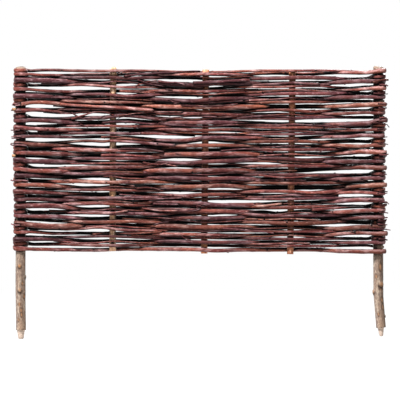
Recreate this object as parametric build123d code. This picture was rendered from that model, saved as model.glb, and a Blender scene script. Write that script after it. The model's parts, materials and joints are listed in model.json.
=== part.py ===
from build123d import *
import math
import os

# Willow lawn edging panel: two staked legs, three short uprights and a close
# weave of thin rods. X runs along the panel, -Y is its front, Z is up, and
# z = 0 is at the point of the left stake.

# posts
stake_span = 572.0
stake_r = 7.5
stake_woven_r = 8.0
straight_leg = 68.0
taper = 3.0
leg_height = 141.0
upright_r = 5.3
upright_share = (0.2578, 0.5155, 0.7570)
upright_lean = (1.0, 2.7, 3.7)
upright_above = (1.6, -2.5, -5.0)
upright_below = (0.5, 4.5, 5.5)

# stake ends
bark_end = 14.0
point_r = 4.2
shoulder_r = 6.3
top_rise = 2.2
top_slant = 12.0
kink_height = 70.0
kink_angle = 4.6
kink_swell = 0.1
kink_bend = 1.5
right_short = 4.0
thin_point_r = 2.7
thin_shoulder_r = 5.1
knot_height = 0.9

# woven rods: each one lies across the panel, turns round an end stake and comes back
rod_count = 23
butt_d = 7.2
tip_d = 4.6
butt_overhang = 11.0
turn_flatness = 0.7
run_flatness = 1.05

# clearances between the rods, and between rods and posts
layer_gap = 0.1
row_spare = 0.7
post_gap = 0.1
turn_gap = 0.3
right_drop = 4.0

# waviness of the rows
bunch = 2.3
near_post = 0.3
turn_angle = 540.0
turn_facets = 11
tail_angle = 192.0
tail_facets = 3
lead = 12.0

# rows that stand apart, by span from the left: row above the opening and its size
open_rows = ({12: 4, 18: 3}, {6: 4, 15: 3}, {10: 5, 4: 3}, {10: 14, 7: 6, 2: 4, 1: 3})

middle_d = (butt_d + tip_d) / 2
layer = butt_d + tip_d + 2 * layer_gap
weave_height = rod_count * (layer + row_spare)
weave_top = leg_height + weave_height
left_x = -stake_span / 2
right_x = stake_span / 2


def uprightX(k, z):
    # centre of upright k at height z, leaning a little to the right
    x = left_x + upright_share[k] * stake_span
    return x + upright_lean[k] * ((z - leg_height) / weave_height - 0.5)


def postX(k, z):
    if k == 0:
        return left_x
    if k == 4:
        return right_x
    return uprightX(k - 1, z)


def share(span, row):
    # part of the span's spare height that lies below a row
    weights = [open_rows[span].get(b, 1) for b in range(1, rod_count + 1)]
    return sum(weights[:row]) / sum(weights)


def rowBase(row, span, x):
    # underside of a row in one span
    spare = rod_count * row_spare + right_drop * (x - left_x) / stake_span
    return weave_top - (rod_count - row) * layer - spare * (1 - share(span, row))


def postBase(row, k):
    # underside of a row at a post: even at the ends, between its two spans elsewhere
    x = postX(k, weave_top)
    if k in (0, 4):
        spare = rod_count * row_spare + right_drop * (x - left_x) / stake_span
        return weave_top - (rod_count - row) * (layer + spare / rod_count)
    return (rowBase(row, k - 1, x) + rowBase(row, k, x)) / 2


def thickness(row, back, x):
    # rods taper from the butt to the tip; even rows have both at the right
    along = (right_x - x) / stake_span if row % 2 == 0 else (x - left_x) / stake_span
    along = min(1.0, max(0.0, along))
    part = 1 - along / 2 if back else along / 2
    return butt_d + (tip_d - butt_d) * part


def layerZ(base, row, back, x):
    # height of a rod's centre in its row, the return lying on the first run
    first = thickness(row, False, x)
    if not back:
        return base + layer_gap + first / 2
    return base + layer_gap + first + layer_gap + thickness(row, True, x) / 2


def side(back, k):
    # -1 in front of post k, 1 behind it
    return -1 if (k + back) % 2 == 0 else 1


def reach(row, back, k, z):
    # distance from a post's centre to the centre of a rod that passes it
    post_r = stake_woven_r if k in (0, 4) else upright_r
    d = thickness(row, back, postX(k, z))
    return post_r + post_gap + run_flatness * d / 2


def turnReach(d, step):
    # a bent rod is flat against the stake, and its straight facets clear the bark
    return (stake_woven_r + post_gap) / math.cos(math.radians(step / 2)) + turn_flatness * d / 2


def runPoints(row, back):
    # one run across the panel from left to right, without the end stakes:
    # (x, y, z, diameter, depth)
    points = []
    for span in range(4):
        base = rowBase(row, span, (postX(span, weave_top) + postX(span + 1, weave_top)) / 2)
        for k, t in ((span, near_post), (span + 1, 1 - near_post)):
            z = layerZ(base, row, back, 0)
            x = postX(span, z) + t * (postX(span + 1, z) - postX(span, z))
            z = layerZ(base, row, back, x)
            y = side(back, k) * reach(row, back, k, z) * math.cos(math.pi * near_post)
            points.append((x, y, z, thickness(row, back, x), run_flatness))
        if span < 3:
            points.append(passPoint(row, back, span + 1))
    return points


def passPoint(row, back, k):
    # where the rod bends round an upright, pushed up or down beside it
    push = bunch * math.cos(1.9 * row + 2.3 * k)
    z = layerZ(postBase(row, k), row, back, postX(k, weave_top)) + (-push if back else push)
    x = postX(k, z)
    return (x, side(back, k) * reach(row, back, k, z), z, thickness(row, back, x), run_flatness)


def buttPoints(row):
    # the thick end lies across the front of its stake and is cut just past it
    k, out = (4, 1) if row % 2 == 0 else (0, -1)
    x = postX(k, 0)
    z = layerZ(postBase(row, k), row, False, x)
    y = -reach(row, False, k, z)
    splay = -y * (1 - math.cos(math.pi * near_post)) / (near_post * stake_span / 4)
    end = (x + out * butt_overhang, y - splay * butt_overhang, z, butt_d, run_flatness)
    return [end, (x, y, z, butt_d, run_flatness)]


def climb(angle):
    # rise of the turn in rod thicknesses: level in front, climbing at the back
    turns, rest = divmod(angle, 360)
    return turns + min(1.0, max(0.0, (rest - 45) / 270))


def turnPoints(row):
    # one and a half turns round the stake, from the front to the back
    k, out = (0, -1) if row % 2 == 0 else (4, 1)
    x = postX(k, 0)
    radius = turnReach(middle_d, turn_angle / turn_facets)
    rise = middle_d + turn_gap
    z = postBase(row, k) + layer_gap + middle_d / 2
    points = []
    for step in range(turn_facets + 1):
        turned = step * turn_angle / turn_facets
        angle = math.radians(turned)
        points.append((x + out * radius * math.sin(angle), -radius * math.cos(angle),
                       z + rise * climb(turned), middle_d, turn_flatness))
    slope = rise / (radius * math.radians(270))
    inward = 1 - lead * (1 - math.cos(math.pi * near_post)) / (near_post * stake_span / 4)
    points.append((x - out * lead, radius * inward, points[-1][2] + slope * lead,
                   middle_d, (turn_flatness + run_flatness) / 2))
    return points


def tailPoints(row):
    # the thin end comes round from behind and is tucked across the front
    k, out = (4, 1) if row % 2 == 0 else (0, -1)
    x = postX(k, 0)
    radius = turnReach(tip_d, tail_angle / tail_facets)
    base = postBase(row, k)
    above = postBase(row + 1, k)
    z = (base + layer_gap + butt_d + above) / 2
    points = []
    for step in range(tail_facets + 1):
        angle = math.radians(step * tail_angle / tail_facets)
        d = tip_d if step < tail_facets else 0.75 * tip_d
        points.append((x + out * radius * math.sin(angle), radius * math.cos(angle),
                       z, d, turn_flatness))
    return points


def rodPath(row):
    # butt, first run, turn, return run and tucked tip, in that order
    first = runPoints(row, False)
    back = runPoints(row, True)
    if row % 2 == 0:
        first.reverse()
    else:
        back.reverse()
    return buttPoints(row) + first + turnPoints(row) + back + tailPoints(row)


def section(before, here, after):
    # six-sided section square to the path, flat above and below
    tangent = (Vector(*after[:3]) - Vector(*before[:3])).normalized()
    across = tangent.cross(Vector(0, 0, 1)).normalized()
    up = across.cross(tangent)
    centre = Vector(*here[:3])
    high = here[3] / 2
    wide = high * here[4]
    edge = wide / 2
    ring = ((wide, 0), (edge, high), (-edge, high), (-wide, 0), (-edge, -high), (edge, -high))
    return Wire.make_polygon([centre + across * a + up * b for a, b in ring], close=True)


def makeRod(row):
    path = rodPath(row)
    last = len(path) - 1
    rings = [section(path[max(i - 1, 0)], path[i], path[min(i + 1, last)]) for i in range(last + 1)]
    return Solid.make_loft(rings, ruled=True)


def peeledPoint(shoulder, end, tilt):
    # blunt cone that hangs below z = 0, starting inside the barked leg
    sunk = 1.5
    cone = Cone(end, shoulder, bark_end + sunk, align=(Align.CENTER, Align.CENTER, Align.MAX))
    return Rot(0, -tilt, 0) * Pos(0, 0, sunk) * cone


def knot(part, turn, size):
    # low stub where a shoot was cut off, part of the way up the leg; turn is measured from the front
    angle = math.radians(turn)
    at = Plane(origin=(0, 0, part * leg_height), z_dir=(math.sin(angle), -math.cos(angle), 0.25))
    return at * Cylinder(size * stake_r, stake_woven_r + knot_height, align=(Align.CENTER, Align.CENTER, Align.MIN))


def cutTop(solid, top):
    # slanted cut that faces the front
    plane = Plane((0, 0, top)).rotated((top_slant, 0, 0))
    size = 6 * stake_woven_r
    cutter = plane * Box(size, size, size, align=(Align.CENTER, Align.CENTER, Align.MIN))
    return solid - cutter


def postBody(z):
    # barked stake from height z, thicker in the weave, to the slanted cut above it
    top = weave_top + top_rise
    low = (Align.CENTER, Align.CENTER, Align.MIN)
    body = Pos(0, 0, z) * Cone(stake_r, stake_woven_r, taper, align=low)
    length = top + stake_woven_r - z - taper
    body += Pos(0, 0, z + taper) * Cylinder(stake_woven_r, length, align=low)
    return cutTop(body, top)


def legBody(length, shoulder, end, tilt):
    # plain round leg hanging below z = 0, with its peeled point
    leg = Pos(0, 0, bark_end - length) * Cylinder(stake_r, length - bark_end,
                                                  align=(Align.CENTER, Align.CENTER, Align.MIN))
    return leg + Pos(0, 0, bark_end - length) * peeledPoint(shoulder, end, tilt)


def makeLeftStake():
    body = postBody(straight_leg)
    body += Pos(0, 0, straight_leg) * legBody(straight_leg, shoulder_r, point_r, 1.5)
    body += knot(0.83, -6, 0.27)
    body += knot(0.70, 80, 0.24)
    body += knot(0.56, -4, 0.27)
    return Pos(left_x, 0, 0) * body


def makeRightStake():
    # straight through the weave, then bent outwards below the knots, a little swollen at the bend
    swollen = stake_r + kink_swell
    leg = Cone(stake_r, swollen, kink_bend, align=(Align.CENTER, Align.CENTER, Align.MAX))
    straight = kink_height - right_short - kink_bend
    leg += Pos(0, 0, -kink_bend) * legBody(straight, thin_shoulder_r, thin_point_r, 3.0)
    body = postBody(kink_height) + Pos(0, 0, kink_height) * Sphere(swollen)
    body += Pos(0, 0, kink_height) * Rot(0, -kink_angle, 0) * leg
    body += knot(0.61, 32, 0.40)
    body += knot(0.56, -78, 0.29)
    return Pos(right_x, 0, 0) * body


def makeUpright(k):
    low = leg_height - upright_below[k]
    high = weave_top + upright_above[k]
    foot = Vector(uprightX(k, low), 0, low)
    head = Vector(uprightX(k, high), 0, high)
    plane = Plane(origin=foot, z_dir=(head - foot).normalized())
    length = (head - foot).length
    return plane * Cylinder(upright_r, length, align=(Align.CENTER, Align.CENTER, Align.MIN))


def write(name, shape):
    solids = shape.solids()
    print(f"{name}: {len(solids)} solid, {sum(s.volume for s in solids):.0f} mm3, valid {shape.is_valid}")
    solid = solids[0]
    solid.label = name
    export_step(solid, f"parts/{name}.step")


os.makedirs("parts", exist_ok=True)
write("end_stake_left", makeLeftStake())
write("end_stake_right", makeRightStake())
for number, place in enumerate(("left", "middle", "right")):
    write(f"upright_{place}", makeUpright(number))
for row in range(rod_count):
    write(f"rod_{row + 1:02d}", makeRod(row))
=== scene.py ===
import json
import math
import random

import bpy
import numpy as np
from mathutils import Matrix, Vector
from mathutils.bvhtree import BVHTree


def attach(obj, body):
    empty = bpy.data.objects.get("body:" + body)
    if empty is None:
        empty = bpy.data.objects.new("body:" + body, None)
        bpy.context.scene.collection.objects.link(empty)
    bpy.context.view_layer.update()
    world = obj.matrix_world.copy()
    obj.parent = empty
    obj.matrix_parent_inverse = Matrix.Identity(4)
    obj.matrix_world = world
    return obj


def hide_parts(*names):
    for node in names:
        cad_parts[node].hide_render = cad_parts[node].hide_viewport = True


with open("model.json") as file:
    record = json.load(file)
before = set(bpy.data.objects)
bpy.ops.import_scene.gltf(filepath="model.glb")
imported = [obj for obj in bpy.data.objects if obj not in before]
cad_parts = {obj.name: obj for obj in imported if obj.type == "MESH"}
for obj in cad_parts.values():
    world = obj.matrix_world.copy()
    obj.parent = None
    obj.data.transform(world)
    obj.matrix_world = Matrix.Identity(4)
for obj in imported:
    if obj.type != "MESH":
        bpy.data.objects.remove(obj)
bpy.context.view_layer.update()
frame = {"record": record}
mm = 0.001
random.seed(41)
print("frame loaded")

# the weave, in millimetres, with the same values as the panel it dresses
weave = {
    "span": 572.0, "rows": 23, "legHeight": 141.0, "buttD": 7.2, "tipD": 4.6,
    "layerGap": 0.1, "rowSpare": 0.7, "rightDrop": 4.0, "stakeR": 8.0, "uprightR": 5.3,
    "uprightShare": (0.2578, 0.5155, 0.7570), "uprightLean": (1.0, 2.7, 3.7),
    "uprightAbove": (1.6, -2.5, -5.0), "uprightBelow": (0.5, 4.5, 5.5),
}
layer = weave["buttD"] + weave["tipD"] + 2 * weave["layerGap"]
weaveHeight = weave["rows"] * (layer + weave["rowSpare"])
weaveTop = weave["legHeight"] + weaveHeight
leftX = -weave["span"] / 2
rightX = weave["span"] / 2
runCount = 2 * weave["rows"]  # each rod runs out and back
bendZ = 290  # the height at which the runs take the uprights' places

# openings between the rods: from x, to x, middle z, height, rise in hundredths
openings = (
    (-274, -210, 425, 5.5, 0), (92, 146, 424, 2.4, -2), (200, 262, 424, 2.6, -1),
    (-123, -99, 420, 4.5, 3), (-69, 5, 413, 7.8, -2), (227, 270, 420, 3.7, 4),
    (-203, -157, 403, 4.4, -6), (-134, -99, 409, 2.9, 0), (216, 269, 405, 3.7, 5),
    (-274, -205, 400, 5.5, -7), (-133, -93, 392, 2.9, 0), (-70, 3, 385, 4.7, -3),
    (214, 251, 379, 2.9, 0), (-274, -216, 374, 6.6, -4), (163, 192, 367, 4.4, -5),
    (-275, -202, 358, 10.3, -5), (-195, -144, 361, 6.3, -5), (104, 144, 356, 2.9, 0),
    (-134, -91, 353, 4.5, -7), (-80, -22, 353, 4.5, -8), (-18, -2, 351, 4.5, -5),
    (90, 144, 349, 3.7, -4), (162, 277, 349, 4, 2), (-275, -219, 343, 6.7, -1),
    (-128, -94, 343, 2.9, -4), (24, 83, 329, 5.3, -1), (-275, -206, 317, 5.8, 1),
    (-176, -141, 319, 4.3, -4), (-90, -8, 323, 6.1, -3), (182, 211, 320, 2.9, 0),
    (256, 275, 322, 4.5, -3), (-192, -142, 308, 4, -2), (-133, -77, 316, 5, -6),
    (-14, 5, 316, 4.2, 9), (14, 32, 316, 5.5, -2), (240, 261, 313, 4.5, -4),
    (152, 194, 289, 3.6, -1), (243, 272, 296, 4.2, -2), (-277, -224, 287, 6.1, -6),
    (-51, -8, 287, 5.8, -3), (67, 125, 283, 4.1, -2), (-275, -174, 276, 5.8, 1),
    (-48, -16, 272, 3.6, -1), (170, 277, 269, 8.3, 3), (-192, -142, 255, 4.9, -1),
    (-208, -155, 244, 3.9, -2), (-176, -144, 235, 2.9, 0), (-43, -16, 232, 5.5, -2),
    (26, 45, 238, 4.4, -5), (45, 74, 237, 3.6, -3), (165, 194, 236, 2.9, 0),
    (213, 275, 231, 6.8, 0), (237, 278, 221, 4.5, -7), (-277, -243, 220, 3.8, -7),
    (-192, -144, 213, 4, 2), (22, 118, 219, 6.1, 0), (-277, -211, 209, 5.7, -3),
    (91, 139, 205, 4.5, -1), (192, 235, 209, 4.5, 2), (-205, -152, 196, 4.5, 0),
    (19, 54, 198, 2.9, 4), (67, 94, 192, 2.9, 0), (-277, -226, 186, 4.4, -9),
    (-186, -144, 175, 4.5, 2), (202, 250, 181, 4.3, 4), (-277, -234, 165, 5.2, -4),
    (-250, -211, 171, 2.9, -1), (218, 275, 166, 5.4, 1), (-277, -224, 156, 4.5, 1),
    (-192, -146, 160, 3.8, 2), (-277, -146, 144, 5.4, 0), (18, 42, 144, 4.1, -6),
    (210, 277, 145, 6.1, 3),
)

# how the runs find their places round the openings
settle = {
    "pitch": 4.0, "sweeps": 130, "hold": 0.015,  # grid step, rounds, and the pull to even rows
    "taut": 7, "own": 0.34, "neighbour": 0.33,  # straightening passes in a round, and weights
    "overlap": 0.50, "endOverlap": 0.85, "endReach": 25,  # how near two runs may come
    "snug": 1.0, "closing": 0.15,  # runs with no opening between them close up
    "openFactor": 0.80, "lineShare": 0.5,  # height of the openings, and shift to the runs there
    "narrow": 0.25, "stakeReach": 260, "postReach": 15,
    "stray": 4.4, "edgeStray": 0.4, "edgeRuns": 3, "fadeReach": 60,  # unevenness at the uprights
    "freeOpen": 2.2, "freeTurn": 0.9, "freeEdge": 0.3, "bottomPlay": 0.8,  # play at the stakes
    "topLine": ((-286, 430.5), (-60, 428.0), (10, 426.5), (75, 429.5), (286, 428.0)),
}
rodLook = {
    "girth": 1.09, "girthSpread": (0.76, 1.16),  # against the solid's, and from rod to rod
    "sides": 12, "pace": 4.2, "crossShift": 0.19,
    "spanSteps": (0.1, 0.2, 0.35, 0.5, 0.65, 0.8, 0.9, 1.0),
    "frontLimit": -17.3, "backLimit": 13.5, "runBack": 12.9,
    # heights of the bands on an end stake, above the base of the row
    "turn": (4.2, 12.2), "topTurn": (2.4, 7.9), "butt": 8.0, "bottomButt": 3.7, "tip": 9.5,
    # the butt, cut a little past the stake
    "cutRight": (5.5, 6.5, 8.0, 9.0, 10.5), "cutLeft": (7.0, 7.8, 8.4),
    "buttSwell": 1.1, "buttLean": 0.02, "buttPlay": 0.5, "cutSlant": 0.45,
    # the turns, pressed thin against the stake, and the tucked tip
    "turnPress": 0.56, "turnD": 8.5, "turnRise": 1.04, "turnSteps": 19, "turnStep": 30,
    "tailTurn": (60, 110), "tailSteps": 8, "tailTaper": 0.14,
    # shortest and longest wave and its size, then size and length of the lumps, then knuckles
    "waves": ((12, 45, 0.15), (4, 9, 0.03)), "lumps": (0.03, 23), "smallLumps": (0.012, 5.1),
    "nodeEvery": 34.0, "nodeSpread": (0.6, 1.4), "nodeSwell": 0.09, "nodeLength": 3.2,
}
rowGirth = [rodLook["girth"] * random.uniform(*rodLook["girthSpread"])
            for row in range(weave["rows"])]


def postX(k, z):
    # post 0 is the left stake and post 4 the right one, with the uprights between
    if k in (0, 4):
        return leftX if k == 0 else rightX
    x = leftX + weave["uprightShare"][k - 1] * weave["span"]
    return x + weave["uprightLean"][k - 1] * ((z - weave["legHeight"]) / weaveHeight - 0.5)


def rowBase(row, x):
    # the height under a row, which sinks a little to the right
    spare = weave["rowSpare"] + weave["rightDrop"] * (x - leftX) / weave["span"] / weave["rows"]
    return weaveTop - (weave["rows"] - row) * (layer + spare)


def thickness(row, back, x):
    # a rod thins evenly from its butt to its tip, out and back
    along = (rightX - x) / weave["span"] if row % 2 == 0 else (x - leftX) / weave["span"]
    along = min(1.0, max(0.0, along))
    part = 1 - along / 2 if back else along / 2
    return weave["buttD"] + (weave["tipD"] - weave["buttD"]) * part


def layerZ(row, back, x):
    # the middle of a run in an even weave
    first = thickness(row, False, x)
    if not back:
        return rowBase(row, x) + weave["layerGap"] + first / 2
    return rowBase(row, x) + 2 * weave["layerGap"] + first + thickness(row, True, x) / 2


def stakeOf(row, turning):
    # number and outward way: even rows turn round the left stake, odd rows round the right one
    return (0, -1) if (row % 2 == 0) == turning else (4, 1)


def endZ(row, back, k):
    # heights at the end stakes: two bands for a turn, one for a butt, the tip tucked behind
    base = rowBase(row, postX(k, 0))
    if stakeOf(row, True)[0] == k:
        return base + rodLook["topTurn" if row == weave["rows"] - 1 else "turn"][back]
    if back:
        return base + rodLook["tip"]
    return base + rodLook["bottomButt" if row == 0 else "butt"]


def side(back, k):
    # -1 where a run passes in front of the post, 1 behind it
    return -1 if (k + back) % 2 == 0 else 1


def evenRuns(xs):
    # the runs as the solids have them, with their heights at the stakes and a little stray
    runs = np.array([[layerZ(i // 2, i % 2 == 1, x) for x in xs] for i in range(runCount)])
    fade = (leftX, leftX + settle["fadeReach"], rightX - settle["fadeReach"], rightX)
    bends = [postX(k, bendZ) for k in range(5)]
    edge = settle["edgeRuns"]
    rng = np.random.default_rng(11)
    for i, run in enumerate(runs):
        ends = [endZ(i // 2, i % 2 == 1, k) - run[-1 if k else 0] for k in (0, 4)]
        run += np.interp(xs, fade, (ends[0], 0, 0, ends[1]))
        stray = settle["stray" if edge <= i < runCount - edge else "edgeStray"]
        run += np.interp(xs, bends, np.r_[0, rng.uniform(-stray, stray, 3), 0])
    return runs


def besidePost(x):
    return min(abs(x - postX(k, bendZ)) for k in range(5)) < settle["postReach"]


def narrowing(u):
    # an opening is lower where it meets an end stake
    return settle["narrow"] + (1 - settle["narrow"]) * np.clip(u / settle["narrow"], 0, 1)


def openingShapes(xs):
    # grid columns, middle line and half height of each opening
    margin, far = settle["pitch"] / 2, settle["stakeReach"]
    out = []
    for x0, x1, middle, height, rise in openings:
        cols = np.nonzero((xs > x0 - margin) & (xs < x1 + margin))[0]
        u = np.clip((xs[cols] - x0) / (x1 - x0), 0.01, 0.99)
        if besidePost(x0) and besidePost(x1):
            shape = np.ones(len(cols))
        elif besidePost(x0):
            shape = (1 - u ** 2) * (narrowing(u) if x0 < -far else 1)
        elif besidePost(x1):
            shape = (1 - (1 - u) ** 2) * (narrowing(1 - u) if x1 > far else 1)
        else:
            shape = 1 - (2 * u - 1) ** 2
        line = middle + rise / 100 * (xs[cols] - (x0 + x1) / 2)
        out.append((cols, line, height * settle["openFactor"] / 2 * np.sqrt(shape)))
    return out


def settleRuns():
    # the runs keep their order, are pushed apart round the openings and lie close elsewhere
    xs = np.arange(leftX, rightX + 1, settle["pitch"])
    natural = evenRuns(xs)
    half = np.array([[thickness(i // 2, i % 2 == 1, x) / 2 * rowGirth[i // 2] for x in xs]
                     for i in range(runCount)])
    near = (leftX, leftX + settle["endReach"], rightX - settle["endReach"], rightX)
    tight = np.interp(xs, near, [settle[name] for name in
                                 ("endOverlap", "overlap", "overlap", "endOverlap")])
    free = np.array([[settle["freeTurn" if stakeOf(i // 2, True)[0] == k else "freeOpen"]
                      for k in (0, 4)] for i in range(runCount)])
    free[:2], free[-2:] = settle["freeEdge"], settle["freeEdge"]
    closed = np.ones((runCount - 1, len(xs)), bool)
    gaps = []
    for cols, line, gap in openingShapes(xs):
        c = len(cols) // 2
        here = natural[:, cols[c]]
        above = int(np.clip((here < line[c]).sum(), 1, runCount - 1))
        line += settle["lineShare"] * ((here[above] + here[above - 1]) / 2 - line[c])
        closed[above - 1, cols] = False
        gaps.append((above, cols, line + gap + half[above, cols],
                     line - gap - half[above - 1, cols]))
    z = natural.copy()
    for sweep in range(settle["sweeps"]):
        z += settle["hold"] * (natural - z)
        for above, cols, high, low in gaps:
            z[above, cols] = np.maximum(z[above, cols], high)
            z[above - 1, cols] = np.minimum(z[above - 1, cols], low)
        for i in list(range(runCount - 1)) + list(range(runCount - 2, -1, -1)):
            both = half[i] + half[i + 1]
            push = np.clip(tight * both - (z[i + 1] - z[i]), 0, None) / 2
            z[i] -= push
            z[i + 1] += push
            loose = np.clip(z[i + 1] - z[i] - settle["snug"] * both, 0, None)
            loose *= closed[i] * settle["closing"]
            z[i] += loose
            z[i + 1] -= loose
        z[0] = np.clip(z[0], natural[0] - settle["bottomPlay"], natural[0] + settle["bottomPlay"])
        z[-1] = np.minimum(z[-1], np.interp(xs, *zip(*settle["topLine"])))
        for pull in range(settle["taut"]):
            z[:, 1:-1] = settle["own"] * z[:, 1:-1] + settle["neighbour"] * (z[:, :-2] + z[:, 2:])
            for k, (end, beside) in enumerate(((0, 1), (-1, -2))):
                drawn = 0.5 * (z[:, end] + z[:, beside])
                z[:, end] = np.clip(drawn, natural[:, end] - free[:, k],
                                    natural[:, end] + free[:, k])
    return xs, z


settledX, settledZ = settleRuns()
crossShift = np.random.default_rng(7).uniform(-rodLook["crossShift"], rodLook["crossShift"],
                                              (runCount, 4))
print("runs settled")


def runZ(run, x):
    return float(np.interp(x, settledX, settledZ[run]))


def restZ(row, back, k):
    # where a run really comes to the end stake
    return float(settledZ[2 * row + back][-1 if k else 0])


def swing(run, span, t):
    # 1 at the left post of the span, -1 at the right one, crossing near the middle
    return math.cos(math.pi * (t + crossShift[run, span] * math.sin(math.pi * t)))


def runKnots(row, back):
    # places that a run goes through, from left to right: x, y, z, diameter, press
    run = 2 * row + back
    knots = []
    for span in range(4):
        steps = rodLook["spanSteps"][:-1] if span == 3 else rodLook["spanSteps"]
        for t in steps:
            start, end = postX(span, bendZ), postX(span + 1, bendZ)
            z = runZ(run, start + t * (end - start))
            x = postX(span, z) + t * (postX(span + 1, z) - postX(span, z))
            k = span if t < 0.5 else span + 1
            postR = weave["stakeR"] if k in (0, 4) else weave["uprightR"]
            d = thickness(row, back, x) * rowGirth[row]
            y = side(back, span) * swing(run, span, t) * (postR + d / 2)
            knots.append((x, min(y, rodLook["runBack"] - d / 2), z, d, 1.0))
    return knots


def buttKnots(row):
    # the thick end, in front of the stake
    k, out = stakeOf(row, False)
    x, z = postX(k, 0), restZ(row, False, k)
    d = weave["buttD"] * rodLook["buttSwell"]
    y = -(weave["stakeR"] + d / 2)
    over = random.choice(rodLook["cutRight" if k == 4 else "cutLeft"])
    high = z + random.uniform(-rodLook["buttPlay"], rodLook["buttPlay"])
    return [(x + out * over, y - rodLook["buttLean"] * over, high, d, 1.0), (x, y, z, d, 1.0)]


def climb(turned):
    # a turn rises from 45 to 315 degrees, so that it lies level in front
    turns, rest = divmod(turned, 360)
    return turns + min(1.0, max(0.0, (rest - 45) / 270))


def turnKnots(row):
    # one and a half tight turns round the stake
    k, out = stakeOf(row, True)
    x, z = postX(k, 0), restZ(row, False, k)
    rise = restZ(row, True, k) - z
    d = min(rodLook["turnD"], rise * rodLook["turnRise"])
    radius = weave["stakeR"] + rodLook["turnPress"] * d / 2
    knots = []
    for step in range(rodLook["turnSteps"]):
        turned = step * rodLook["turnStep"]
        angle = math.radians(turned)
        knots.append((x + out * radius * math.sin(angle), -radius * math.cos(angle),
                      z + rise * climb(turned), d, rodLook["turnPress"]))
    return knots


def tailKnots(row):
    # the thin end, tucked behind the stake
    k, out = stakeOf(row, False)
    x, z, tip = postX(k, 0), restZ(row, True, k), weave["tipD"]
    radius = weave["stakeR"] + rodLook["turnPress"] * tip / 2
    knots = []
    last, steps = random.uniform(*rodLook["tailTurn"]), rodLook["tailSteps"] - 1
    for step in range(steps + 1):
        angle = math.radians(step * last / steps)
        d = tip * (1 - rodLook["tailTaper"] * (step / steps) ** 3)
        knots.append((x + out * radius * math.sin(angle), radius * math.cos(angle), z, d,
                      rodLook["turnPress"]))
    return knots


def rodKnots(row):
    first, back = runKnots(row, False), runKnots(row, True)
    if row % 2 == 0:
        first.reverse()
    else:
        back.reverse()
    return buttKnots(row) + first + turnKnots(row) + back + tailKnots(row)


# thin single withies that lie beside the runs
withySet = {
    "count": 92, "thick": (2.3, 4.6), "length": (130, 420), "lift": 3.0, "beside": 0.5,
    "butt": 1.1, "taper": 0.6, "pace": 12, "leftMargin": 25, "rightMargin": 15, "edgeRuns": 2,
    "slots": ("rod_red", "rod_plum", "rod_plum", "rod_red", "rod_brown"),
}


def withyList():
    # run it lies beside, from x, to x, thickness, slot, and whether its butt is at the right
    rng = np.random.default_rng(23)
    out = []
    for i in range(withySet["count"]):
        share = (i + rng.uniform(0.1, 0.9)) / withySet["count"]
        run = int(share * (runCount - 2 * withySet["edgeRuns"])) + withySet["edgeRuns"]
        length = rng.uniform(*withySet["length"])
        x0 = rng.uniform(leftX + withySet["leftMargin"], rightX - withySet["rightMargin"] - length)
        d = rng.uniform(*withySet["thick"])
        slot = withySet["slots"][rng.integers(5)]
        out.append((run, x0, x0 + length, d, slot, rng.random() < 0.5))
    return out


def withyKnots(run, x0, x1, d, flip):
    # it passes the posts on the other side than its run does, and lies a little above or below
    knots = []
    for x in np.linspace(x0, x1, max(6, int((x1 - x0) / withySet["pace"]))):
        z = runZ(run, x)
        posts = [postX(k, z) for k in range(5)]
        span = min(3, max(0, sum(x > p for p in posts) - 1))
        t = (x - posts[span]) / (posts[span + 1] - posts[span])
        away = weave["uprightR"] + d / 2 + withySet["beside"]
        y = -side(run % 2 == 1, span) * math.cos(math.pi * t) * away
        lift = withySet["lift"] * math.sin(math.pi * t) * (1 if run % 2 else -1)
        part = (x - x0) / (x1 - x0)
        part = 1 - part if flip else part
        thick = d * (withySet["butt"] - withySet["taper"] * part)
        knots.append((float(x), y, z + lift, thick, 1.0))
    return knots[::-1] if flip else knots


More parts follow.
